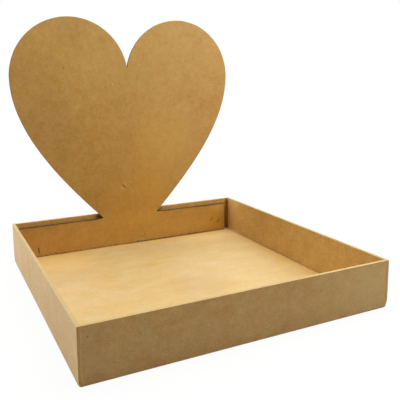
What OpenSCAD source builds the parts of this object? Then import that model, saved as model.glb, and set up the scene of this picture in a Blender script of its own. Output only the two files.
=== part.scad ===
// Open craft tray of thin fibreboard, with a heart-shaped back board stapled inside its rear wall.
// Millimetres. The origin is the centre of the footprint on the table: +X to the right as seen
// from the front, -Y to the front, +Z up.

/* [Tray] */
// Outside width of the tray, from left to right
tray_w = 300; // [220:5:400]
// Outside depth of the tray, from front to back
tray_d = 300; // [160:5:400]
// Height of the tray, from the table to the rim
tray_h = 47.5; // [30:0.5:90]
// Thickness of the sheet that the four walls are cut from
wall_t = 3; // [2.5:0.5:6]
// Thickness of the floor panel
floor_t = 3; // [2:0.5:6]
// Joint left all round the floor panel, which glue fills
floor_joint = 0.3; // [0:0.1:0.8]
// Slot left between the right wall and the rear wall, which is cut a little short
rear_wall_slot = 2.2; // [0:0.1:3]
// Radius that the outside bottom edges are sanded to
base_edge_r = 2.7; // [0.5:0.1:6]

/* [Heart board] */
// Thickness of the heart board
board_t = 3; // [2:0.5:6]
// Height of the heart board, from its bottom edge to the top of its lobes
board_h = 289.2; // [200:0.2:400]
// Space between the left wall and the left end of the board's strip
board_left_gap = 4.2; // [0.5:0.1:10]
// Space between the right wall and the right end of the board's strip
board_right_gap = 7; // [0.5:0.1:10]
// How far the heart, at its widest, reaches out past each end of the strip
heart_overhang = 2; // [0:0.5:6]
// Joint left under the heart board, above the floor panel
board_joint = 0.4; // [0:0.1:0.8]
// How far the top edge of the board's strip lies below the rim
strip_drop = 5.9; // [1:0.1:15]

/* [Staples] */
// Outside width of a staple, over its two legs
staple_crown = 6.5; // [5:0.5:10]
// Width of the flattened wire, across the staple
wire_w = 0.9; // [0.6:0.1:1.2]
// Thickness of the flattened wire
wire_t = 0.6; // [0.4:0.1:1]
// Depth that a staple's back is driven below the face of the heart board
staple_sink = 0.2; // [0:0.1:0.6]
// Wall left behind the points of the staples
staple_cover = 0.5; // [0.3:0.1:1]
// Play on each side of the wire in its slot
staple_play = 0.05; // [0.02:0.01:0.1]

/* [Hidden] */

// Cuts run past the faces that they leave by this much
overrun = 1;
arc_fn = 64;

// Clear space between the walls
inner_w = tray_w - 2 * wall_t;
inner_d = tray_d - 2 * wall_t;

// The sanded radius stays inside the thickness of the wall
sanded_wall_share = 0.9;
sanded_r = min(base_edge_r, sanded_wall_share * wall_t);

// The heart board stands on the floor panel, against the rear wall
strip_w = inner_w - board_left_gap - board_right_gap;
heart_w = strip_w + 2 * heart_overhang;
board_x = (board_left_gap - board_right_gap) / 2;
board_z = floor_t + board_joint;
board_front_y = inner_d / 2 - board_t;
strip_h = tray_h - strip_drop - board_z;

// The heart: two round lobes, and sides that curve down from them to a point at the bottom edge
lobe_radius_share = 0.2517;
lobe_r = lobe_radius_share * heart_w;
lobe_x = heart_w / 2 - lobe_r;
lobe_z = board_h - lobe_r;
lobe_steps = 84;
side_steps = 28;
// How far each side drops straight before it turns in, as a share of the lobes' height
side_drop_share = 0.36;
// Where each side heads from the point: shares of the half width and of the lobes' height
point_reach_share = 0.415;
point_rise_share = 0.289;

// Each staple's place on the strip, as shares of the strip's width from its middle and of the
// strip's height from its bottom edge, and how far it is turned from level, in degrees
staple_left_shares = [-0.425, 0.213];
staple_left_turn = 98;
staple_centre_shares = [0.0535, 0.234];
staple_centre_turn = -1;
staple_inner_right_shares = [0.427, 0.45];
staple_inner_right_turn = 46;
staple_outer_right_shares = [0.466, 0.343];
staple_outer_right_turn = 45;

// The legs go through the heart board and stop inside the rear wall
staple_leg = board_t + wall_t - staple_sink - staple_cover;

// Points along an arc about a centre, both ends included
function arc_points(centre, radius, from, to, steps) = [
    for (i = [0:steps])
        let (angle = from + (to - from) * i / steps)
        centre + radius * [cos(angle), sin(angle)]
];

// Point of a cubic curve, t running from 0 at a to 1 at d, with the handles b and c
function curve_point(a, b, c, d, t) =
    pow(1 - t, 3) * a + 3 * pow(1 - t, 2) * t * b + 3 * (1 - t) * pow(t, 2) * c + pow(t, 3) * d;

// Right half of the heart: from the notch over the lobe, then down the side to the point
function right_half() = concat(
    arc_points([lobe_x, lobe_z], lobe_r, acos(-lobe_x / lobe_r), 0, lobe_steps),
    [
        for (i = [1:side_steps])
            curve_point(
                [heart_w / 2, lobe_z],
                [heart_w / 2, lobe_z - side_drop_share * lobe_z],
                [point_reach_share * heart_w / 2, point_rise_share * lobe_z],
                [0, 0],
                i / side_steps
            )
    ]
);

// Whole heart, with its point at the origin: the right half and its mirror image
module heart_outline() {
    right = right_half();
    left = [for (i = [len(right) - 2:-1:1]) [-right[i][0], right[i][1]]];
    polygon(concat(right, left));
}

// What sanding takes off a square edge that runs along X, with the corner at the origin
module sanded_edge(length) {
    rotate([90, 0, 90])
        linear_extrude(length, center = true)
            difference() {
                translate([-overrun, -overrun])
                    square(sanded_r + overrun);
                translate([sanded_r, sanded_r])
                    circle(sanded_r, $fn = arc_fn);
            }
}

// The four outside bottom edges of the tray
module sanded_base() {
    for (side = [0, 1]) {
        mirror([0, side, 0])
            translate([0, -tray_d / 2, 0])
                sanded_edge(tray_w + 2 * overrun);
        mirror([side, 0, 0])
            translate([-tray_w / 2, 0, 0])
                rotate([0, 0, -90])
                    sanded_edge(tray_d + 2 * overrun);
    }
}

// Sets a staple or its slot on the strip, with the wire's back at the origin
module on_strip(shares, turn) {
    translate([
        board_x + shares[0] * strip_w,
        board_front_y + staple_sink,
        board_z + shares[1] * strip_h,
    ])
        rotate([0, -turn, 0])
            children();
}

// Bent wire: a crown along X with a round bend and a slanted point on each leg, legs along +Y
module staple_wire() {
    translate([0, 0, -wire_w / 2])
        linear_extrude(wire_w)
            for (side = [0, 1])
                mirror([side, 0])
                    staple_half();
}

// Right half of the staple's flat shape
module staple_half() {
    outer = staple_crown / 2;
    inner = outer - wire_t;
    square([inner, wire_t]);
    intersection() {
        translate([inner, wire_t])
            circle(wire_t, $fn = arc_fn);
        translate([inner, 0])
            square(wire_t);
    }
    polygon([
        [inner, wire_t], [outer, wire_t],
        [outer, staple_leg - wire_t], [inner, staple_leg],
    ]);
}

// Slot that a staple cuts for itself, open at the face that it is driven through
module staple_slot() {
    outer = staple_crown / 2 + staple_play;
    inner = staple_crown / 2 - wire_t - staple_play;
    mouth = staple_sink + overrun;
    width = wire_w + 2 * staple_play;
    translate([0, 0, -width / 2])
        linear_extrude(width)
            difference() {
                translate([-outer, -mouth])
                    square([2 * outer, mouth + staple_leg + staple_play]);
                translate([-inner, wire_t + staple_play])
                    square([2 * inner, staple_leg]);
            }
}

// All four slots, which run from the board into the rear wall
module staple_slots() {
    on_strip(staple_left_shares, staple_left_turn) staple_slot();
    on_strip(staple_centre_shares, staple_centre_turn) staple_slot();
    on_strip(staple_inner_right_shares, staple_inner_right_turn) staple_slot();
    on_strip(staple_outer_right_shares, staple_outer_right_turn) staple_slot();
}

// Low wall towards the viewer, set between the two side walls
module front_wall() {
    color("#9b7d50")
        difference() {
            translate([-inner_w / 2, -tray_d / 2, 0])
                cube([inner_w, wall_t, tray_h]);
            sanded_base();
        }
}

// Wall behind the heart board, short of the right wall by a slot, with the staples' slots in it
module rear_wall() {
    color("#a07a45")
        difference() {
            translate([-inner_w / 2, inner_d / 2, 0])
                cube([inner_w - rear_wall_slot, wall_t, tray_h]);
            sanded_base();
            staple_slots();
        }
}

// Side wall over the whole depth of the tray, which covers the ends of the front and rear walls
module side_wall() {
    difference() {
        translate([inner_w / 2, -tray_d / 2, 0])
            cube([wall_t, tray_d, tray_h]);
        sanded_base();
    }
}

module left_wall() {
    color("#cdb48a")
        mirror([1, 0, 0])
            side_wall();
}

module right_wall() {
    color("#b58a4b")
        side_wall();
}

// Floor panel, inset between the walls and level with their bottom edges
module floor_panel() {
    width = inner_w - 2 * floor_joint;
    depth = inner_d - 2 * floor_joint;
    color("#e2c183")
        translate([-width / 2, -depth / 2, 0])
            cube([width, depth, floor_t]);
}

// One sheet: a strip along the rear wall that the heart grows out of
module heart_board() {
    color("#ab7c3a")
        difference() {
            translate([board_x, inner_d / 2, board_z])
                rotate([90, 0, 0]) {
                    translate([-strip_w / 2, 0, 0])
                        cube([strip_w, strip_h, board_t]);
                    linear_extrude(board_t)
                        heart_outline();
                }
            staple_slots();
        }
}

module staple_left() {
    color("#7d7a74")
        on_strip(staple_left_shares, staple_left_turn)
            staple_wire();
}

module staple_centre() {
    color("#b9b8b4")
        on_strip(staple_centre_shares, staple_centre_turn)
            staple_wire();
}

module staple_inner_right() {
    color("#8c8a85")
        on_strip(staple_inner_right_shares, staple_inner_right_turn)
            staple_wire();
}

module staple_outer_right() {
    color("#8c8a85")
        on_strip(staple_outer_right_shares, staple_outer_right_turn)
            staple_wire();
}

front_wall();
rear_wall();
left_wall();
right_wall();
floor_panel();
heart_board();
staple_left();
staple_centre();
staple_inner_right();
staple_outer_right();
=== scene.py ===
import math
import random

import bmesh
import bpy
from mathutils import Matrix, Vector


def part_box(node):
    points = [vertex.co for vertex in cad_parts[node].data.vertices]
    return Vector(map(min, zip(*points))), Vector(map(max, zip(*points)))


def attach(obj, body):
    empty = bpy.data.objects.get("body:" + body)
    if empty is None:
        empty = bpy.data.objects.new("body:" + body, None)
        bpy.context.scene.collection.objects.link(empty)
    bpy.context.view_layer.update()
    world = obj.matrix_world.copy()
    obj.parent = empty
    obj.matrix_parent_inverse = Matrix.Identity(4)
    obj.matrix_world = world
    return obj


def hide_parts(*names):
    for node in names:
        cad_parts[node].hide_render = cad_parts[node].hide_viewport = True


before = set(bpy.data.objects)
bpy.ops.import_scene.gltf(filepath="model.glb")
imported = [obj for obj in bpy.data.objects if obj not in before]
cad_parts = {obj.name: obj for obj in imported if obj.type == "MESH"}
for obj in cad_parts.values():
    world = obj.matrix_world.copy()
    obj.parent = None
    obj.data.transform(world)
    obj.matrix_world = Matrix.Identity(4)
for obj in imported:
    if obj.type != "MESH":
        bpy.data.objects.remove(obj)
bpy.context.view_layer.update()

MM = 0.001
BODY = "root"

# The camera's fit to the photograph: its place in the row frame, where it looks, and its lens
IMAGE_PX = 400
CAMERA_PLACE = (-0.2342, -0.5029, 0.2221)
CAMERA_AZIMUTH, CAMERA_ELEVATION, CAMERA_ROLL = 25.973, 8.72, -0.51
FOCAL_PX = 534.9
CENTRE_X_PX, CENTRE_Y_PX = 186.63, 157.4
SENSOR_MM = 36
CLIP_NEAR, CLIP_FAR = 0.01, 20

# Soft boxes of the studio: middle, what each points at, width and height in metres, and watts
SOFT_BOXES = {
    "top": ((0.0, 0.2, 1.25), (0, 0, 0), (1.3, 1.3), 19.6),
    "near_top": ((0.08, -0.05, 0.75), (0.05, 0.05, 0), (0.4, 0.4), 2.0),
    "top_right": ((0.6, 0.0, 1.1), (0, 0, 0), (0.8, 0.8), 2.8),
    "left": ((-1.0, 0.9, 0.7), (0, 0, 0.1), (1.0, 1.0), 9.1),
    "right": ((0.55, -0.3, 0.5), (0.05, 0.15, 0.15), (0.4, 0.5), 3.2),
    "back": ((0.2, 1.4, 0.8), (0, 0, 0.1), (1.2, 1.0), 8.9),
}
# Strength at which the white surroundings light the object, where 1 is white
AMBIENT = 0.043
# The table is a sweep of matt white paper, which keeps a soft shadow and mirrors nothing. It has
# its own tone, a share of white painted on where it is seen, and the stretch over which that
# share grows to the whole of it
TABLE_HEX = "#d8d6d2"
TABLE_WHITE_SHARE = 0.95
TABLE_SHADOW_REACH, TABLE_WHITE_REACH = 0.26, 0.48
TABLE_SIZE = 8.0


def linear(hex_colour):
    """An sRGB hex colour as linear red, green, blue and alpha."""
    parts = [int(hex_colour[i : i + 2], 16) / 255 for i in (1, 3, 5)]
    return [c / 12.92 if c <= 0.04045 else ((c + 0.055) / 1.055) ** 2.4 for c in parts] + [1]


def add_node(tree, kind, inputs=None, **settings):
    """A node with its settings; each input takes a value, or the output that feeds it."""
    node = tree.nodes.new(kind)
    for name, value in settings.items():
        setattr(node, name, value)
    for key, value in (inputs or {}).items():
        if isinstance(value, bpy.types.NodeSocket):
            tree.links.new(value, node.inputs[key])
        else:
            node.inputs[key].default_value = value
    return node


def new_material(name):
    """An empty material's node tree, and its output node."""
    material = bpy.data.materials.new(name)
    material.use_nodes = True
    tree = material.node_tree
    tree.nodes.clear()
    return material, tree, add_node(tree, "ShaderNodeOutputMaterial")


def make_camera():
    """A plain pinhole camera at the photograph's viewing angle."""
    data = bpy.data.cameras.new("photo_camera")
    data.sensor_width = SENSOR_MM
    data.lens = FOCAL_PX / IMAGE_PX * SENSOR_MM
    data.shift_x = (IMAGE_PX / 2 - CENTRE_X_PX) / IMAGE_PX
    data.shift_y = (CENTRE_Y_PX - IMAGE_PX / 2) / IMAGE_PX
    data.clip_start, data.clip_end = CLIP_NEAR, CLIP_FAR
    camera = bpy.data.objects.new("photo_camera", data)
    bpy.context.scene.collection.objects.link(camera)
    turn = (
        Matrix.Rotation(math.radians(-CAMERA_AZIMUTH), 4, "Z")
        @ Matrix.Rotation(math.radians(90 - CAMERA_ELEVATION), 4, "X")
        @ Matrix.Rotation(math.radians(CAMERA_ROLL), 4, "Z")
    )
    camera.matrix_world = Matrix.Translation(CAMERA_PLACE) @ turn
    bpy.context.scene.camera = camera


def make_soft_boxes():
    """Large soft lamps that the camera doesn't see."""
    for name, (place, target, size, watts) in SOFT_BOXES.items():
        data = bpy.data.lights.new("soft_box_" + name, "AREA")
        data.shape = "RECTANGLE"
        data.size, data.size_y = size
        data.energy = watts
        lamp = bpy.data.objects.new("soft_box_" + name, data)
        lamp.visible_camera = False
        bpy.context.scene.collection.objects.link(lamp)
        aim = Vector(target) - Vector(place)
        lamp.matrix_world = Matrix.Translation(place) @ aim.to_track_quat("-Z", "Y").to_matrix().to_4x4()


def seen_share(tree):
    """1 for rays that show a surface to the eye or in a reflection, 0 for rays that light it."""
    path = add_node(tree, "ShaderNodeLightPath").outputs
    seen = add_node(
        tree, "ShaderNodeMath", {0: path["Is Camera Ray"], 1: path["Is Glossy Ray"]}, operation="MAXIMUM"
    )
    return add_node(
        tree, "ShaderNodeMath", {0: seen.outputs[0], 1: path["Is Transmission Ray"]}, operation="MAXIMUM"
    ).outputs[0]


def make_world():
    """White surroundings, which show at full strength and light the object only a little."""
    world = bpy.data.worlds.new("white_studio")
    bpy.context.scene.world = world
    world.use_nodes = True
    tree = world.node_tree
    tree.nodes.clear()
    strength = add_node(
        tree, "ShaderNodeMapRange", {"Value": seen_share(tree), "To Min": AMBIENT, "To Max": 1.0}
    )
    glow = add_node(
        tree, "ShaderNodeBackground", {"Color": (1, 1, 1, 1), "Strength": strength.outputs["Result"]}
    )
    add_node(tree, "ShaderNodeOutputWorld", {"Surface": glow.outputs["Background"]})


def make_table():
    """White table that fades into the white behind it, and keeps a faint shadow round the tray."""
    bm = bmesh.new()
    bmesh.ops.create_grid(bm, x_segments=1, y_segments=1, size=TABLE_SIZE / 2)
    mesh = bpy.data.meshes.new("table")
    bm.to_mesh(mesh)
    bm.free()
    table = bpy.data.objects.new("table", mesh)
    bpy.context.scene.collection.objects.link(table)
    material, tree, output = new_material("white_paper_sweep")
    place = add_node(tree, "ShaderNodeTexCoord").outputs["Object"]
    away = add_node(tree, "ShaderNodeVectorMath", {0: place}, operation="LENGTH").outputs["Value"]
    fade = add_node(
        tree,
        "ShaderNodeMapRange",
        {
            "Value": away,
            "From Min": TABLE_SHADOW_REACH,
            "From Max": TABLE_WHITE_REACH,
            "To Min": TABLE_WHITE_SHARE,
            "To Max": 1.0,
        },
    ).outputs["Result"]
    share = add_node(
        tree, "ShaderNodeMath", {0: fade, 1: seen_share(tree)}, operation="MULTIPLY"
    ).outputs[0]
    paper = add_node(tree, "ShaderNodeBsdfDiffuse", {"Color": linear(TABLE_HEX)})
    white = add_node(tree, "ShaderNodeEmission", {"Color": (1, 1, 1, 1), "Strength": 1.0})
    mix = add_node(tree, "ShaderNodeMixShader", {0: share, 1: paper.outputs[0], 2: white.outputs[0]})
    tree.links.new(mix.outputs[0], output.inputs["Surface"])
    mesh.materials.append(material)


# Raw fibreboard is steamed wood fibre pressed flat: a matt tan surface with no grain, but soft
# clouds where the mat was thicker, blotches, bundles of fibre and a grit of single fibres
CLOUD_MM, BLOTCH_MM, BUNDLE_MM, GRIT_MM = 22, 8, 3.2, 1.2
# How strongly each shows, as a share of the board's own tone
CLOUD_GAIN, BLOTCH_GAIN, BUNDLE_GAIN, GRIT_GAIN = 0.17, 0.18, 0.20, 0.38
# How finely a pattern is broken up, and between which values a cloudy one changes most
FINE, SOFT, PLAIN = 2.0, 1.0, 0.0
CLOUDY_LOW, CLOUDY_HIGH = 0.3, 0.7
# Pale fibre holds less yellow than deep fibre, so red, green and blue swing unlike each other
WALL_SWING, FLOOR_SWING = (1.05, 1.6, 3.4), (0.36, 0.95, 3.4)
# A cut edge shows this share of a face's swing
EDGE_SWING_SHARE = 0.4
# The board also drifts between a redder and a greyer brown
HUE_LONG_MM, HUE_WIDE_MM, HUE_TURN = 12, 9, 40
REDDER, GREYER = (1.02, 0.99, 0.94, 1), (0.98, 1.01, 1.06, 1)
# A single fibre is 3 mm by 0.03 mm: it is drawn 0.5 mm wide, so that it shows at all, and only
# where its pattern peaks
FIBRE_LONG_MM, FIBRE_WIDE_MM, FIBRE_GAIN = 6, 0.5, 0.12
FIBRE_LOW, FIBRE_HIGH = 0.66, 0.78
FIBRE_TURNS = (12, 71, 133)
# About one cell in seven holds a fleck of bark, which is dark up to the first of these shares of
# the cell's size and gone at the second
FLECK_CELL_MM, FLECK_RARE, FLECK_DARK = 5, 0.86, 0.32
FLECK_CORE, FLECK_RIM = 0.06, 0.10
# How squarely a surface looks out of its sheet to be a face, and how far up to be a rim
FACE_LOW, FACE_HIGH = 0.4, 0.7
RIM_LOW, RIM_HIGH = 0.1, 0.7
# A saw leaves the core in fine layers, torn lighter and darker along the cut
LAYER_LONG_MM, LAYER_MM = 5, 0.5
LAYER_DARK, LAYER_PALE = 0.92, 1.06
# An edge darkened by soot, scorch and painted shade is ragged at this size, soft over this width, and
# hides this much of the board
TORN_MM, FRAY_SOFT_MM, FRAY_COVER = 2.2, 0.4, 0.85
# The marks on a face, by kind: the colour, and how much of the board it hides. Bark is any dark
# fleck or crushed fibre, and a split is a slit that a staple cut. Small pale spots and scuffs are
# rubbed fibre, and wide pale ones are painted light. A stain is painted shade in corners, recesses
# and along the strip, with some glue and dirt there, and scorch is the laser's, widened by painted
# shade of the gaps beside the strip. Warm, faded and dense stretches are wide and faint: mostly
# painted light and shade, where a face looks paler, darker or warmer by how it is lit
MARK_KINDS = {
    "bark": ("#4f3a1c", 0.62),
    "pale": ("#dcb878", 0.24),
    "split": ("#4f3a1c", 0.8),
    "shade_and_dirt": ("#4a2a04", 0.8),
    "scorch_and_shade": ("#2c1c0c", 0.8),
    "warm": ("#dba031", 0.2),
    "paler_stretch": ("#b8a669", 0.12),
    "darker_stretch": ("#6c5434", 0.12),
    "scuff": ("#dcb878", 0.6),
}
# A mark is whole up to the first of these shares of its half size, and gone at the second
MARK_CORE, MARK_RIM, MARK_DEPTH_MM = 0.35, 1.2, 1.5
# Pressed faces have a slight gloss, which the bundles break up, and open cut edges have none
FACE_GLOSSY, FACE_DULL, EDGE_DULL = 0.45, 0.60, 0.9
BOARD_IOR, BOARD_SPECULAR = 1.5, 0.3
# Loose fibre ends catch a little light at a low angle, and stand just proud of the surface
BOARD_SHEEN, SHEEN_ROUGHNESS = 0.12, 0.45
BOARD_BUMP, BOARD_BUMP_MM = 0.35, 0.12


def laid(sheet, spot_mm, long, wide, deep, turn):
    """Settings that lay a pattern on a sheet: stretched, turned in its plane, about a spot."""
    outward = [abs(c) for c in sheet["outward"]]
    sizes = [wide * MM] * 3
    sizes[1 if outward[0] else 0] = long * MM
    sizes[outward.index(1)] = deep * MM
    return {
        "Location": Vector(spot_mm) * MM,
        "Rotation": Vector(outward) * math.radians(turn),
        "Scale": sizes,
    }


def cloudy(tree, place, sheet, long, wide, turn=0.0, detail=SOFT):
    """A cloudy pattern all over a sheet, in patches of a length and a width in millimetres."""
    spot = add_node(
        tree,
        "ShaderNodeMapping",
        {"Vector": place["Object"], **laid(sheet, sheet["shift"], long, wide, wide, turn)},
        vector_type="TEXTURE",
    ).outputs["Vector"]
    return add_node(
        tree, "ShaderNodeTexNoise", {"Vector": spot, "Scale": 1.0, "Detail": detail}
    ).outputs["Fac"]


def sawn_layers(tree, place, sheet):
    """How much paler or deeper the core's torn layers are than a cut edge's own tone."""
    return add_node(
        tree,
        "ShaderNodeMapRange",
        {
            "Value": cloudy(tree, place, sheet, LAYER_LONG_MM, LAYER_MM),
            "From Min": CLOUDY_LOW,
            "From Max": CLOUDY_HIGH,
            "To Min": LAYER_DARK,
            "To Max": LAYER_PALE,
        },
        interpolation_type="SMOOTHSTEP",
    ).outputs["Result"]


def board_parts(tree, place, sheet):
    """A sheet's own colour by face, rim and sawn end, and how far a spot lies on a face."""
    toward = add_node(
        tree, "ShaderNodeVectorMath", {0: place["Normal"], 1: sheet["outward"]}, operation="DOT_PRODUCT"
    ).outputs["Value"]
    outside = add_node(tree, "ShaderNodeMath", {0: toward, 1: 0.0}, operation="GREATER_THAN").outputs[0]
    face = add_node(
        tree,
        "ShaderNodeMix",
        {0: outside, 6: linear(sheet["inner"]), 7: linear(sheet["outer"])},
        data_type="RGBA",
    ).outputs[2]
    upward = add_node(tree, "ShaderNodeSeparateXYZ", {"Vector": place["Normal"]}).outputs["Z"]
    on_rim = add_node(
        tree,
        "ShaderNodeMapRange",
        {"Value": upward, "From Min": RIM_LOW, "From Max": RIM_HIGH},
        interpolation_type="SMOOTHSTEP",
    ).outputs["Result"]
    edge = add_node(
        tree,
        "ShaderNodeMix",
        {0: on_rim, 6: linear(sheet["sawn"]), 7: linear(sheet["rim"])},
        data_type="RGBA",
    ).outputs[2]
    layers = sawn_layers(tree, place, sheet)
    edge = add_node(
        tree, "ShaderNodeVectorMath", {0: edge, "Scale": layers}, operation="SCALE"
    ).outputs[0]
    flat = add_node(tree, "ShaderNodeMath", {0: toward}, operation="ABSOLUTE").outputs[0]
    on_face = add_node(
        tree,
        "ShaderNodeMapRange",
        {"Value": flat, "From Min": FACE_LOW, "From Max": FACE_HIGH},
        interpolation_type="SMOOTHSTEP",
    ).outputs["Result"]
    colour = add_node(tree, "ShaderNodeMix", {0: on_face, 6: edge, 7: face}, data_type="RGBA").outputs[2]
    return colour, on_face


def bark_flecks(tree, place):
    """How much deeper the flecks of bark are than the board's own tone, as a share of it."""
    cells = add_node(
        tree, "ShaderNodeTexVoronoi", {"Vector": place["Object"], "Scale": 1 / (FLECK_CELL_MM * MM)}
    ).outputs
    fleck = add_node(
        tree,
        "ShaderNodeMapRange",
        {
            "Value": cells["Distance"],
            "From Min": FLECK_CORE,
            "From Max": FLECK_RIM,
            "To Min": -FLECK_DARK,
            "To Max": 0.0,
        },
        interpolation_type="SMOOTHSTEP",
    ).outputs["Result"]
    draw = add_node(tree, "ShaderNodeSeparateColor", {"Color": cells["Color"]}).outputs["Red"]
    chosen = add_node(
        tree,
        "ShaderNodeMapRange",
        {"Value": draw, "From Min": FLECK_RARE},
        interpolation_type="SMOOTHSTEP",
    ).outputs["Result"]
    return add_node(tree, "ShaderNodeMath", {0: fleck, 1: chosen}, operation="MULTIPLY").outputs[0]


def board_swing(tree, place, sheet, bundles, grit):
    """How much paler or deeper each spot is than the board's own tone, as a share of it."""
    drift = sheet.get("drift", 0.0)
    patterns = (
        (cloudy(tree, place, sheet, CLOUD_MM * (1 + drift), CLOUD_MM), CLOUD_GAIN * (1 + drift)),
        (cloudy(tree, place, sheet, BLOTCH_MM * (1 + 2 * drift), BLOTCH_MM), BLOTCH_GAIN),
        (bundles, BUNDLE_GAIN),
        (grit, GRIT_GAIN),
    )
    # Each pattern is a half on average, so the swing starts low enough to be nothing on average
    swing = -sum(gain for _, gain in patterns) / 2
    for pattern, gain in patterns:
        swing = add_node(
            tree, "ShaderNodeMath", {0: pattern, 1: gain, 2: swing}, operation="MULTIPLY_ADD"
        ).outputs[0]
    for turn in FIBRE_TURNS:
        fibres = add_node(
            tree,
            "ShaderNodeMapRange",
            {
                "Value": cloudy(tree, place, sheet, FIBRE_LONG_MM, FIBRE_WIDE_MM, turn, PLAIN),
                "From Min": FIBRE_LOW,
                "From Max": FIBRE_HIGH,
                "To Max": FIBRE_GAIN,
            },
            interpolation_type="SMOOTHSTEP",
        ).outputs["Result"]
        swing = add_node(tree, "ShaderNodeMath", {0: swing, 1: fibres}, operation="ADD").outputs[0]
    flecks = bark_flecks(tree, place)
    return add_node(tree, "ShaderNodeMath", {0: swing, 1: flecks}, operation="ADD").outputs[0]


def board_tone(tree, place, sheet, bundles, grit, on_face):
    """The tone of each spot, channel by channel, which swings less on a cut edge."""
    share = add_node(
        tree,
        "ShaderNodeMapRange",
        {"Value": on_face, "To Min": EDGE_SWING_SHARE},
        interpolation_type="SMOOTHSTEP",
    ).outputs["Result"]
    swing = board_swing(tree, place, sheet, bundles, grit)
    swing = add_node(tree, "ShaderNodeMath", {0: swing, 1: share}, operation="MULTIPLY").outputs[0]
    return add_node(
        tree,
        "ShaderNodeVectorMath",
        {0: swing, 1: sheet.get("swing", WALL_SWING), 2: (1, 1, 1)},
        operation="MULTIPLY_ADD",
    ).outputs[0]


def board_hue(tree, place, sheet):
    """The hue of each spot, which drifts between a redder and a greyer brown."""
    reddest, greyest = sheet.get("hues", (0.0, 1.0))
    greyness = add_node(
        tree,
        "ShaderNodeMapRange",
        {
            "Value": cloudy(tree, place, sheet, HUE_LONG_MM, HUE_WIDE_MM, HUE_TURN),
            "From Min": CLOUDY_LOW,
            "From Max": CLOUDY_HIGH,
            "To Min": reddest,
            "To Max": greyest,
        },
        interpolation_type="SMOOTHSTEP",
    ).outputs["Result"]
    return add_node(
        tree, "ShaderNodeMix", {0: greyness, 6: REDDER, 7: GREYER}, data_type="RGBA"
    ).outputs[2]


def darkened_edges(tree, place, sheet, colour):
    """The colour with each edge darkened over a ragged width, by soot and scorch with painted shade."""
    for side, distance, fray, tone_hex in sheet.get("darkened_edges", ()):
        reach = add_node(
            tree, "ShaderNodeVectorMath", {0: place["Object"], 1: side}, operation="DOT_PRODUCT"
        ).outputs["Value"]
        torn = cloudy(tree, place, sheet, TORN_MM, TORN_MM, detail=FINE)
        ragged = add_node(
            tree, "ShaderNodeMath", {0: torn, 1: 2 * fray * MM, 2: reach}, operation="MULTIPLY_ADD"
        ).outputs[0]
        # The share of the board that the soot and painted shade hide
        worn = add_node(
            tree,
            "ShaderNodeMapRange",
            {
                "Value": ragged,
                "From Min": distance * MM,
                "From Max": (distance + FRAY_SOFT_MM) * MM,
                "To Max": FRAY_COVER,
            },
            interpolation_type="SMOOTHSTEP",
        ).outputs["Result"]
        colour = add_node(
            tree, "ShaderNodeMix", {0: worn, 6: colour, 7: linear(tone_hex)}, data_type="RGBA"
        ).outputs[2]
    return colour


def marked(tree, place, sheet, colour):
    """The colour with the sheet's marks, one kind after another, each at its own spot."""
    for kind, (tone_hex, cover) in MARK_KINDS.items():
        marks = [mark[1:] for mark in sheet["marks"] if mark[0] == kind]
        hidden = 0.0
        for spot_mm, long, wide, turn in marks:
            lay = laid(sheet, spot_mm, long / 2, wide / 2, MARK_DEPTH_MM, turn)
            spot = add_node(
                tree, "ShaderNodeMapping", {"Vector": place["Object"], **lay}, vector_type="TEXTURE"
            ).outputs["Vector"]
            away = add_node(tree, "ShaderNodeVectorMath", {0: spot}, operation="LENGTH").outputs["Value"]
            here = add_node(
                tree,
                "ShaderNodeMapRange",
                {
                    "Value": away,
                    "From Min": MARK_CORE,
                    "From Max": MARK_RIM,
                    "To Min": cover,
                    "To Max": 0.0,
                },
                interpolation_type="SMOOTHSTEP",
            ).outputs["Result"]
            hidden = add_node(
                tree, "ShaderNodeMath", {0: hidden, 1: here}, operation="ADD"
            ).outputs[0]
        if marks:
            colour = add_node(
                tree, "ShaderNodeMix", {0: hidden, 6: colour, 7: linear(tone_hex)}, data_type="RGBA"
            ).outputs[2]
    return colour


def fibreboard(name, sheet):
    """Raw pressed fibreboard, with one tone for each face, for rims and for sawn ends."""
    material, tree, output = new_material(name)
    place = add_node(tree, "ShaderNodeTexCoord").outputs
    grit = cloudy(tree, place, sheet, GRIT_MM, GRIT_MM, detail=FINE)
    bundles = cloudy(tree, place, sheet, BUNDLE_MM, BUNDLE_MM)
    colour, on_face = board_parts(tree, place, sheet)
    hue = board_hue(tree, place, sheet)
    tone = board_tone(tree, place, sheet, bundles, grit, on_face)
    for factor in (hue, tone):
        colour = add_node(
            tree, "ShaderNodeVectorMath", {0: colour, 1: factor}, operation="MULTIPLY"
        ).outputs[0]
    colour = darkened_edges(tree, place, sheet, colour)
    colour = marked(tree, place, sheet, colour)

    rough = add_node(
        tree,
        "ShaderNodeMapRange",
        {"Value": bundles, "To Min": FACE_GLOSSY, "To Max": FACE_DULL},
        interpolation_type="SMOOTHSTEP",
    ).outputs["Result"]
    rough = add_node(
        tree,
        "ShaderNodeMapRange",
        {"Value": on_face, "To Min": EDGE_DULL, "To Max": rough},
        interpolation_type="SMOOTHSTEP",
    ).outputs["Result"]
    height = add_node(tree, "ShaderNodeMath", {0: grit, 1: bundles}, operation="ADD").outputs[0]
    bump = add_node(
        tree,
        "ShaderNodeBump",
        {"Strength": BOARD_BUMP, "Distance": BOARD_BUMP_MM * MM, "Height": height},
    ).outputs["Normal"]
    shader = add_node(
        tree,
        "ShaderNodeBsdfPrincipled",
        {
            "Base Color": colour,
            "Roughness": rough,
            "IOR": BOARD_IOR,
            "Specular IOR Level": BOARD_SPECULAR,
            "Normal": bump,
            "Sheen Weight": sheet.get("sheen", BOARD_SHEEN),
            "Sheen Roughness": SHEEN_ROUGHNESS,
        },
    )
    tree.links.new(shader.outputs["BSDF"], output.inputs["Surface"])
    return material


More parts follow.
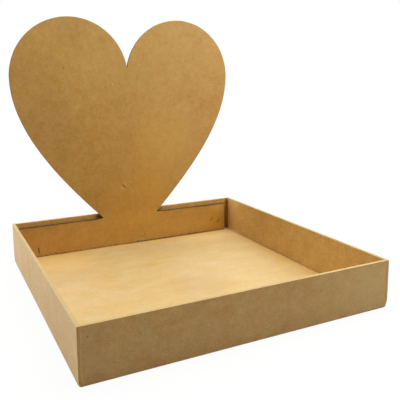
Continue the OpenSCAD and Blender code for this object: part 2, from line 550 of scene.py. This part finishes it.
# Galvanised steel wire is grey metal that glints where its zinc is bright. It is duller and
# darker in blotches where the zinc went matt
ZINC_BLOTCH_MM, ZINC_LOW, ZINC_HIGH = 0.8, 0.35, 0.65
ZINC_MATT, ZINC_BRIGHT = 0.55, 0.32
ZINC_BUMP, ZINC_BUMP_MM = 0.3, 0.05


def galvanised_wire(name, bright, dull):
    """Zinc-coated steel wire, drawn, flattened and clinched, in a bright and a dull tone."""
    material, tree, output = new_material(name)
    place = add_node(tree, "ShaderNodeTexCoord").outputs["Object"]
    blotch = add_node(
        tree, "ShaderNodeTexNoise", {"Vector": place, "Scale": 1 / (ZINC_BLOTCH_MM * MM), "Detail": FINE}
    ).outputs["Fac"]
    shine = add_node(
        tree, "ShaderNodeMapRange", {"Value": blotch, "From Min": ZINC_LOW, "From Max": ZINC_HIGH}
    ).outputs["Result"]
    colour = add_node(
        tree, "ShaderNodeMix", {0: shine, 6: linear(dull), 7: linear(bright)}, data_type="RGBA"
    ).outputs[2]
    rough = add_node(
        tree, "ShaderNodeMapRange", {"Value": shine, "To Min": ZINC_MATT, "To Max": ZINC_BRIGHT}
    ).outputs["Result"]
    bump = add_node(
        tree,
        "ShaderNodeBump",
        {"Strength": ZINC_BUMP, "Distance": ZINC_BUMP_MM * MM, "Height": blotch},
    ).outputs["Normal"]
    shader = add_node(
        tree,
        "ShaderNodeBsdfPrincipled",
        {"Base Color": colour, "Metallic": 1.0, "Roughness": rough, "Normal": bump},
    )
    tree.links.new(shader.outputs["BSDF"], output.inputs["Surface"])
    return material


# Dried white glue is a dull, slightly clear skin of plastic, lumpy where it was wiped, and tan;
# the fill in the slot is a saturated brown, which is painted shade
GLUE_LUMP_MM, GLUE_LOW, GLUE_HIGH = 2.5, 0.35, 0.65
GLUE_ROUGHNESS, GLUE_IOR = 0.42, 1.46
# How much of the light goes into the skin, and how far each channel gets
GLUE_CLEAR, GLUE_CLEAR_MM = 0.3, (1.2, 0.8, 0.4)
GLUE_BUMP, GLUE_BUMP_MM = 0.4, 0.15


def dried_glue(name, deep, pale):
    """White wood glue that dried where it was wiped, in a deep and a pale tone."""
    material, tree, output = new_material(name)
    place = add_node(tree, "ShaderNodeTexCoord").outputs["Object"]
    lumps = add_node(
        tree, "ShaderNodeTexNoise", {"Vector": place, "Scale": 1 / (GLUE_LUMP_MM * MM), "Detail": FINE}
    ).outputs["Fac"]
    thick = add_node(
        tree,
        "ShaderNodeMapRange",
        {"Value": lumps, "From Min": GLUE_LOW, "From Max": GLUE_HIGH},
        interpolation_type="SMOOTHSTEP",
    ).outputs["Result"]
    colour = add_node(
        tree, "ShaderNodeMix", {0: thick, 6: linear(deep), 7: linear(pale)}, data_type="RGBA"
    ).outputs[2]
    bump = add_node(
        tree, "ShaderNodeBump", {"Strength": GLUE_BUMP, "Distance": GLUE_BUMP_MM * MM, "Height": lumps}
    ).outputs["Normal"]
    shader = add_node(
        tree,
        "ShaderNodeBsdfPrincipled",
        {
            "Base Color": colour,
            "Roughness": GLUE_ROUGHNESS,
            "IOR": GLUE_IOR,
            "Subsurface Weight": GLUE_CLEAR,
            "Subsurface Radius": [reach * MM for reach in GLUE_CLEAR_MM],
            "Subsurface Scale": 1.0,
            "Normal": bump,
        },
    )
    tree.links.new(shader.outputs["BSDF"], output.inputs["Surface"])
    return material


# Corners and edges of the sheets are eased by handling, and the wire's by drawing
SHEET_EASE, WIRE_EASE, EASE_SEGMENTS = 0.3 * MM, 0.12 * MM, 2
# Points closer than the first are one point, and a plane cuts no closer to a point than the second
MERGE_GAP, CUT_GAP = 0.001 * MM, 0.0001 * MM
# Faces that meet at less than the first lie flat, edges over the second are eased, and creases
# over the third stay sharp to the eye
FLAT_ANGLE, SHARP_ANGLE, CREASE_ANGLE = math.radians(0.5), math.radians(35), math.radians(50)
# Large faces set the normals round them wholly, on a scale that ends at 100
NORMAL_WEIGHT = 100
# The front and rear walls end at this distance from the middle, and are no thicker than this
JOINT_X, JOINT_REACH = 147 * MM, 3.1 * MM
# An edge this close to a staple belongs to its slot, which stays crisp
SLOT_MARGIN = 0.2 * MM
# A gouge is torn into a face that looks forward at least this squarely. A patch of the face is
# finely cut for it, which leaves a margin round the gouge and keeps its own border still
FRONT_FACING = 0.9
GOUGE_MARGIN_MM, GOUGE_BORDER_MM, GOUGE_CUTS, GOUGE_SEED = 1.5, 0.01, 34, 5
# The groove wanders from side to side. A lip's height is a share of its depth, and the lip lies
# so many half widths out, is so narrow, and is ragged between two shares of its height
GOUGE_WANDER_MM, GOUGE_WAVES = 0.16, 1.9
LIP_SHARE, LIP_PLACE, LIP_NARROW, LIP_RAGGED = 0.3, 1.7, 2.2, (0.5, 1.5)
# Handling wore the tray's bottom corners round, and less and less up their upright edges. The
# walls are cut across at these shares of the radius, and in steps up the edge, to be rounded
WORN_RADIUS, WORN_FADE, WORN_STEPS = 2.8 * MM, 7 * MM, 6
WORN_CUTS_X, WORN_CUTS_Y = (0.5,), (0.5, 1.5)
STAPLES = ("staple_left", "staple_centre", "staple_inner_right", "staple_outer_right")


def in_a_slot(point):
    """True where a point of a sheet lies in one of the staples' slots."""
    for name in STAPLES:
        low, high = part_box(name)
        if all(low[i] - SLOT_MARGIN < point[i] < high[i] + SLOT_MARGIN for i in range(3)):
            return True
    return False


def gouge(bm, spot_mm, turn, long, wide, depth):
    """Tears a short groove with raised lips into a sheet's front face, at an angle to level."""
    middle = Vector(spot_mm) * MM
    along = Vector((math.cos(math.radians(turn)), 0, math.sin(math.radians(turn))))
    across = Vector((-along.z, 0, along.x))
    half_long, half_wide = long / 2 + GOUGE_MARGIN_MM, wide / 2 + GOUGE_MARGIN_MM
    front = [face for face in bm.faces if face.normal.y < -FRONT_FACING]
    patch = next(face for face in front if bmesh.geometry.intersect_face_point(face, middle))
    for way, half in ((along, half_long), (across, half_wide)):
        for side in (-1, 1):
            cut = bmesh.ops.bisect_plane(
                bm,
                geom=[patch, *patch.edges, *patch.verts],
                dist=CUT_GAP,
                plane_co=middle + side * half * MM * way,
                plane_no=way,
            )["geom"]
            faces = [part for part in cut if isinstance(part, bmesh.types.BMFace)]
            patch = next(face for face in faces if bmesh.geometry.intersect_face_point(face, middle))
    torn = bmesh.ops.subdivide_edges(bm, edges=patch.edges, cuts=GOUGE_CUTS, use_grid_fill=True)
    verts = {part for part in torn["geom"] if isinstance(part, bmesh.types.BMVert)}
    chance = random.Random(GOUGE_SEED)
    for vert in sorted(verts, key=lambda vert: tuple(vert.co)):
        u, v = (vert.co - middle).dot(along) / MM, (vert.co - middle).dot(across) / MM
        inside = abs(u) < half_long - GOUGE_BORDER_MM and abs(v) < half_wide - GOUGE_BORDER_MM
        ends = max(0.0, 1 - (2 * u / long) ** 2)
        wander = GOUGE_WANDER_MM * math.sin(GOUGE_WAVES * u)
        reach = 2 * abs(v - wander) / wide
        groove = depth * ends**0.5 * math.exp(-(reach**4))
        lip = LIP_SHARE * depth * ends * math.exp(-((LIP_NARROW * (reach - LIP_PLACE)) ** 2))
        if inside:
            vert.co.y += (groove - lip * chance.uniform(*LIP_RAGGED)) * MM


def glued(edge):
    """True for an edge where two walls meet flush, glued and sanded together."""
    ends = [vert.co for vert in edge.verts]
    in_joint = all(abs(abs(end.x) - JOINT_X) < MERGE_GAP for end in ends)
    return in_joint and abs(ends[0].y - ends[1].y) < JOINT_REACH


def wear_corner(bm, corner_mm):
    """Rounds a bottom corner of a side wall, and fades the rounding out up its upright edge."""
    corner = Vector(corner_mm) * MM
    inward = Vector((-math.copysign(1, corner.x), -math.copysign(1, corner.y), 1))
    top = WORN_RADIUS + WORN_FADE
    cuts = [(Vector((1, 0, 0)), WORN_RADIUS * share) for share in WORN_CUTS_X]
    cuts += [(Vector((0, 1, 0)), WORN_RADIUS * share) for share in WORN_CUTS_Y]
    cuts += [(Vector((0, 0, 1)), top - WORN_FADE * step / WORN_STEPS) for step in range(WORN_STEPS + 1)]
    for way, depth in cuts:
        bmesh.ops.bisect_plane(
            bm,
            geom=[*bm.verts, *bm.edges, *bm.faces],
            dist=CUT_GAP,
            plane_co=corner + depth * inward,
            plane_no=way,
        )
    for vert in bm.verts:
        radius = WORN_RADIUS * min(1.0, max(0.0, (top - vert.co.z) / WORN_FADE)) ** 2
        centre = corner + radius * inward
        centre.z = max(vert.co.z, radius)
        out = vert.co - centre
        if out.x * inward.x < 0 and out.y * inward.y < 0 and out.length > radius:
            vert.co = centre + out.normalized() * radius


def dressed(node, material, ease, in_slots=False, gouges=(), worn=()):
    """A copy of a CAD node with its sharp edges eased, which stands for the node."""
    bm = bmesh.new()
    bm.from_mesh(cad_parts[node].data)
    bmesh.ops.remove_doubles(bm, verts=bm.verts, dist=MERGE_GAP)
    bmesh.ops.dissolve_limit(bm, angle_limit=FLAT_ANGLE, verts=bm.verts, edges=bm.edges)
    sharp = [
        edge
        for edge in bm.edges
        if len(edge.link_faces) == 2
        and edge.calc_face_angle() > SHARP_ANGLE
        and (in_slots or not (glued(edge) or in_a_slot((edge.verts[0].co + edge.verts[1].co) / 2)))
    ]
    bmesh.ops.bevel(
        bm,
        geom=sharp,
        offset=ease,
        offset_type="OFFSET",
        affect="EDGES",
        segments=EASE_SEGMENTS,
        profile=0.5,
        material=-1,
        clamp_overlap=True,
    )
    for spot_mm, turn, long, wide, depth in gouges:
        gouge(bm, spot_mm, turn, long, wide, depth)
    for corner_mm in worn:
        wear_corner(bm, corner_mm)
    for face in bm.faces:
        face.smooth = True
    mesh = bpy.data.meshes.new(node + "_board")
    bm.to_mesh(mesh)
    bm.free()
    mesh.set_sharp_from_angle(angle=CREASE_ANGLE)
    piece = bpy.data.objects.new(node + "_board", mesh)
    bpy.context.scene.collection.objects.link(piece)
    # Normals that follow the large faces keep a flat sheet flat right up to its eased edges
    even = piece.modifiers.new("even_normals", "WEIGHTED_NORMAL")
    even.mode = "FACE_AREA"
    even.weight = NORMAL_WEIGHT
    even.keep_sharp = True
    mesh.materials.append(material)
    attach(piece, BODY)
    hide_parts(node)


# A bead of glue grows ring by ring. In shares of its radius, its first ring is BEAD_START, and
# the others swell and thin at random between the two of BEAD_SWELL. Towards both ends they taper,
# down to BEAD_TAPER of that
BEAD_STEP_MM, BEAD_SIDES, BEAD_SEED = 1.2, 12, 11
BEAD_START, BEAD_TAPER, BEAD_SWELL = 0.2, 0.15, (0.6, 1.0)
# Each bead runs from one place to another, has a radius, and keeps inside a space
CORNER = ((139.8, 100, 3.01), (146.99, 146.99, 10))
SLOT = ((144.81, 147.6, 1), (146.99, 149.6, 47.3))
GLUE_BEADS = {
    "glue_bead_side": ((147, 146.8, 3), (147, 104, 3), 1.5, CORNER),
    "glue_bead_rear": ((140.5, 147, 3), (147, 147, 3), 1.3, CORNER),
    # The slot's fill is a brown piece that keeps the slot dark: painted shade
    "slot_fill_for_shade": ((145.9, 149, 1), (145.9, 149, 47.3), 3.2, SLOT),
}


def glue_bead(name, start_mm, end_mm, radius_mm, space_mm, material):
    """A lumpy bead of glue squeezed out along a wall's foot, or a fill in a slot that stands in for its
    shade, thin at its ends.
    """
    low, high = (Vector(corner) * MM for corner in space_mm)
    start, run = Vector(start_mm) * MM, (Vector(end_mm) - Vector(start_mm)) * MM
    steps = round(run.length / (BEAD_STEP_MM * MM))
    chance = random.Random(BEAD_SEED)
    bm = bmesh.new()
    facing = Matrix.Translation(start) @ run.to_track_quat("Z", "Y").to_matrix().to_4x4()
    bmesh.ops.create_circle(
        bm, cap_ends=True, segments=BEAD_SIDES, radius=BEAD_START * radius_mm * MM, matrix=facing
    )
    edges = bm.edges[:]
    size = BEAD_START
    for step in range(1, steps + 1):
        grown = bmesh.ops.extrude_edge_only(bm, edges=edges)["geom"]
        ring = [part for part in grown if isinstance(part, bmesh.types.BMVert)]
        edges = [part for part in grown if isinstance(part, bmesh.types.BMEdge)]
        bmesh.ops.translate(bm, verts=ring, vec=run / steps)
        taper = max(BEAD_TAPER, math.sin(math.pi * step / steps) ** 0.5)
        wanted = taper * chance.uniform(*BEAD_SWELL)
        middle = start + run * (step / steps)
        bmesh.ops.scale(
            bm, verts=ring, vec=[wanted / size] * 3, space=Matrix.Translation(-middle)
        )
        size = wanted
    bmesh.ops.contextual_create(bm, geom=edges)
    for vert in bm.verts:
        vert.co = [min(max(vert.co[i], low[i]), high[i]) for i in range(3)]
    bmesh.ops.recalc_face_normals(bm, faces=bm.faces)
    for face in bm.faces:
        face.smooth = True
    mesh = bpy.data.meshes.new(name)
    bm.to_mesh(mesh)
    bm.free()
    mesh.materials.append(material)
    bead = bpy.data.objects.new(name, mesh)
    bpy.context.scene.collection.objects.link(bead)
    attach(bead, BODY)


# Tones of a sawn edge, of an edge that the laser burnt, and of soot and dirt with painted shade,
# for the dark lines at the strip's foot and the floor's joint with the right wall
SAWN_HEX, BURNT_HEX, SOOT_AND_SHADE_HEX = "#a2824f", "#2c1b0a", "#33210f"
# Each sheet has the way its outer face looks, its tones, and where in a larger board its pattern
# is taken from. Where it differs from the others, it has its own ease, its sheen, the swing of its
# tone by channel, how much longer and stronger its clouds drift, and which part of the way from
# the redder to the greyer brown its hues keep to. Marks are given as kind, spot, length, width and
# turn. A darkened edge, of soot or scorch with painted shade, has its way out, the distance out
# that it always reaches in to, how much further in it reaches on average, and its tone. A gouge
# has its spot, turn, length, width and depth, and a worn corner its spot. Places and sizes are in
# millimetres, and turns in degrees
SHEETS = {
    "front_wall": {
        "slot": "mdf_wall",
        "outward": (0, -1, 0),
        "outer": "#ac8549",
        "inner": "#ac8243",
        "rim": "#ac9263",
        "sawn": SAWN_HEX,
        "shift": (310, 0, 70),
        "marks": (
            # Flecks of bark and a pale spot; paler towards the right end as a painted sheen, and darker
            # at the left end as painted shade
            ("bark", (-142.2, -150, 38.6), 1.7, 1.5, 0),
            ("bark", (-98.4, -150, 42.3), 1.3, 1.3, 0),
            ("bark", (-101.7, -150, 31.7), 1.6, 1.3, 0),
            ("bark", (-108.6, -150, 19.3), 1.2, 1.1, 0),
            ("bark", (-122.6, -150, 13.8), 1.5, 1.5, 0),
            ("bark", (69.3, -150, 32), 1.6, 1.6, 0),
            ("pale", (3.4, -150, 34.4), 3.5, 0.8, 20),
            ("paler_stretch", (120, -150, 24), 140, 70, 0),
            ("paler_stretch", (145, -150, 24), 110, 90, 0),
            ("darker_stretch", (-146, -150, 18), 44, 80, 0),
        ),
    },
    "rear_wall": {
        "slot": "mdf_wall",
        "outward": (0, 1, 0),
        "outer": "#ac8549",
        "inner": "#bb8e49",
        "rim": "#a88c5c",
        "sawn": SAWN_HEX,
        "shift": (770, 130, 0),
        "marks": (
            # Painted shade beside the heart's base, where the heart shades the wall above the strip,
            # with some glue and dirt; painted shade in the recess between the strip's end and the slot;
            # and darker painted shade along the band above the strip
            ("shade_and_dirt", (-43.4, 147, 43.6), 13, 7, 0),
            ("shade_and_dirt", (38, 147, 42), 5, 3.4, 0),
            ("shade_and_dirt", (144, 147, -20), 178, 6.6, 90),
            ("shade_and_dirt", (31, 147, 43), 26, 16, 0),
            ("darker_stretch", (38, 147, 43), 34, 16, 0),
            ("darker_stretch", (-56, 147, 43), 34, 14, 0),
            ("darker_stretch", (-85, 147, 44), 40, 14, 0),
        ),
    },
    "left_wall": {
        "slot": "mdf_wall",
        "outward": (-1, 0, 0),
        # The outer face is paler than the other walls', partly as painted light from the left
        "outer": "#c9a35d",
        "inner": "#ac8243",
        "rim": "#a68d5d",
        "sawn": "#a27f4a",
        "shift": (0, 520, 210),
        "worn": ((-150, -150, 0), (-150, 150, 0)),
        "marks": (
            # Painted light and shade: paler towards the rear as a painted sheen, and darker and warmer
            # towards the front as painted shade
            ("pale", (-150, 120, 24), 90, 70, 0),
            ("warm", (-150, -95, 18), 150, 60, 0),
            ("darker_stretch", (-150, -95, 16), 160, 60, 0),
        ),
    },
    "right_wall": {
        "slot": "mdf_wall",
        "outward": (1, 0, 0),
        "outer": "#af924f",
        # The inner face is paler than the other walls' inner faces, partly as painted light
        "inner": "#c79e51",
        "rim": "#a08250",
        "sawn": "#b89358",
        "shift": (190, 640, 0),
        "worn": ((150, -150, 0), (150, 150, 0)),
        "marks": (
            # Painted shade down the rear corner beside the slot, with some dirt; paler painted light at
            # the rear corner, which lifts its shade; and flecks of bark
            ("shade_and_dirt", (147, 147.6, -20), 178, 6.5, 90),
            ("pale", (147, 138, 24), 60, 60, 0),
            ("pale", (147, 136, 46), 44, 34, 0),
            ("bark", (147, -90.5, 34.9), 1.8, 1.6, 0),
            ("bark", (147, -111.4, 34.5), 1.6, 1.3, 0),
        ),
    },
    "floor_panel": {
        "slot": "mdf_floor",
        "outward": (0, 0, -1),
        "outer": "#a28859",
        "inner": "#b1955e",
        "rim": SAWN_HEX,
        "sawn": "#6d5228",
        "shift": (50, 900, 330),
        "drift": 0.6,
        "swing": FLOOR_SWING,
        "hues": (0.25, 0.75),
        # Soot with painted shade along the joint with the right wall
        "darkened_edges": (((1, 0, 0), 149.3, 3.4, SOOT_AND_SHADE_HEX),),
        "marks": (
            # Warmer and darker painted shade along the rear and right walls and at the rear left, paler
            # painted light at the rear right corner, a darker stretch mid-floor, and painted shadow with
            # some dust along the strip's foot
            ("warm", (0, 142, 3), 340, 34, 0),
            ("warm", (142, 0, 3), 34, 340, 0),
            ("pale", (118, 130, 3), 120, 56, 0),
            ("warm", (-112, 108, 3), 120, 100, 0),
            ("darker_stretch", (-112, 66, 3), 90, 60, 0),
            ("darker_stretch", (13, -25, 3), 80, 80, 0),
            ("shade_and_dirt", (66, 143.4, 3), 190, 3.0, 0),
        ),
    },
    "heart_board": {
        "slot": "mdf_heart",
        "outward": (0, -1, 0),
        "outer": "#ad823e",
        "inner": "#a17e48",
        "rim": BURNT_HEX,
        "sawn": BURNT_HEX,
        "shift": (420, 270, 110),
        # Soot and scorch with painted shade along the strip's foot, where a gap lies under it
        "darkened_edges": (((0, 0, -1), 1.15, 5.0, SOOT_AND_SHADE_HEX),),
        "sheen": 0.03,
        "ease": 0.45 * MM,
        "gouges": (((-9.6, 144, 80.7), -47, 8.4, 1.3, 0.55), ((-1.4, 144, 74.2), -35, 4.5, 0.8, 0.2)),
        "marks": (
            # Flecks of bark, a scuff, and crushed and rubbed fibre round the gouges
            ("bark", (-81.8, 144, 232.2), 2.6, 2.6, 0),
            ("bark", (-108.7, 144, 213.1), 1.5, 1.4, 0),
            ("bark", (-130.1, 144, 221.4), 1.5, 1.4, 0),
            ("bark", (-116, 144, 206.4), 1.5, 1.4, 0),
            ("bark", (-17.5, 144, 66.1), 2.6, 1.5, 90),
            ("scuff", (-20.9, 144, 211.8), 6.4, 1.3, 45),
            ("bark", (-9.4, 144, 80.5), 10.0, 2.0, 47),
            ("bark", (-3.2, 144, 76.6), 7.7, 0.7, 40),
            ("pale", (-12.2, 144, 78.2), 9, 4.2, 40),
            ("pale", (-8.2, 144, 84.2), 8, 2.4, 45),
            ("pale", (-0.7, 144, 85.6), 10, 1.4, -5),
            ("pale", (0.8, 144, 75.6), 7, 2.2, 50),
            # What the staples cut, crushed and rubbed, with painted shadow under the centre staple's
            # wire over its crushed fibre
            ("split", (-121.6, 144, 11.6), 11.5, 1.5, 82),
            ("split", (9.9, 144, 12.3), 1.4, 1.1, 0),
            ("split", (18.1, 144, 12.2), 1.4, 1.1, 0),
            ("split", (119.4, 144, 20.6), 7.4, 1.9, -46),
            ("split", (130.4, 144, 16.5), 7.4, 1.9, -45),
            ("bark", (13.9, 144, 11.4), 8.6, 1.4, 0),
            ("pale", (118, 144, 17.1), 2.4, 1.4, 0),
            # The laser's scorch along the strip's top edge and at its foot, darkened further as painted
            # shade of the gaps behind and under the strip
            ("scorch_and_shade", (-104, 144, 41.6), 124, 2.6, 0),
            ("scorch_and_shade", (104, 144, 41.6), 124, 2.6, 0),
            ("scorch_and_shade", (128, 144, 41.6), 70, 2.6, 0),
            ("scorch_and_shade", (50, 144, 41.6), 27, 2.8, 0),
            ("scorch_and_shade", (-53, 144, 41.6), 27, 2.8, 0),
            ("scorch_and_shade", (62, 144, 3.5), 190, 1.3, 0),
            # Painted light and shade: paler and warmer along the strip and at its right end, as painted
            # bounce light, brighter and paler to the right and top as painted light and sheen, and
            # darker to the left as painted shade
            ("pale", (137, 144, 40), 30, 30, 0),
            ("warm", (0, 144, 24), 340, 50, 0),
            ("warm", (136, 144, 22), 50, 60, 0),
            ("warm", (118, 144, 10), 60, 34, 0),
            ("warm", (8, 144, 62), 110, 80, 0),
            ("warm", (45, 144, 120), 100, 150, 0),
            ("paler_stretch", (55, 144, 130), 100, 150, 0),
            ("paler_stretch", (0, 144, 270), 360, 170, 0),
            ("darker_stretch", (-130, 144, 195), 110, 150, 0),
            ("darker_stretch", (-95, 144, 150), 80, 110, 0),
            ("darker_stretch", (-76, 144, 276), 60, 44, 0),
        ),
    },
}

make_camera()
make_soft_boxes()
make_world()
make_table()

for node, sheet in SHEETS.items():
    board = fibreboard("pressed_fibreboard_" + node, sheet)
    dressed(
        node,
        board,
        sheet.get("ease", SHEET_EASE),
        gouges=sheet.get("gouges", ()),
        worn=sheet.get("worn", ()),
    )

thin_glue = dried_glue("dried_white_glue", "#a5835a", "#c4a47a")
slot_fill_painted_shade = dried_glue("dried_glue_painted_slot_shade", "#8a5c04", "#a87708")
for name, (start_mm, end_mm, radius_mm, space_mm) in GLUE_BEADS.items():
    glue = slot_fill_painted_shade if space_mm == SLOT else thin_glue
    glue_bead(name, start_mm, end_mm, radius_mm, space_mm, glue)

# The centre staple's lighter tones are a painted glint, and the right staples' darker tones are painted
# shade, on the same wire; the left staple's wire has brown tones
wire_painted_glint = galvanised_wire("galvanised_wire_painted_glint", "#c4c2a8", "#9a9474")
wire_painted_shade = galvanised_wire("galvanised_wire_painted_shade", "#6e6450", "#443a2a")
brown_wire = galvanised_wire("galvanised_wire_brown", "#6b5126", "#46330f")
wires = {"staple_left": brown_wire, "staple_centre": wire_painted_glint}
for node in STAPLES:
    dressed(node, wires.get(node, wire_painted_shade), WIRE_EASE, in_slots=True)

bpy.context.scene.view_settings.view_transform = "Standard"
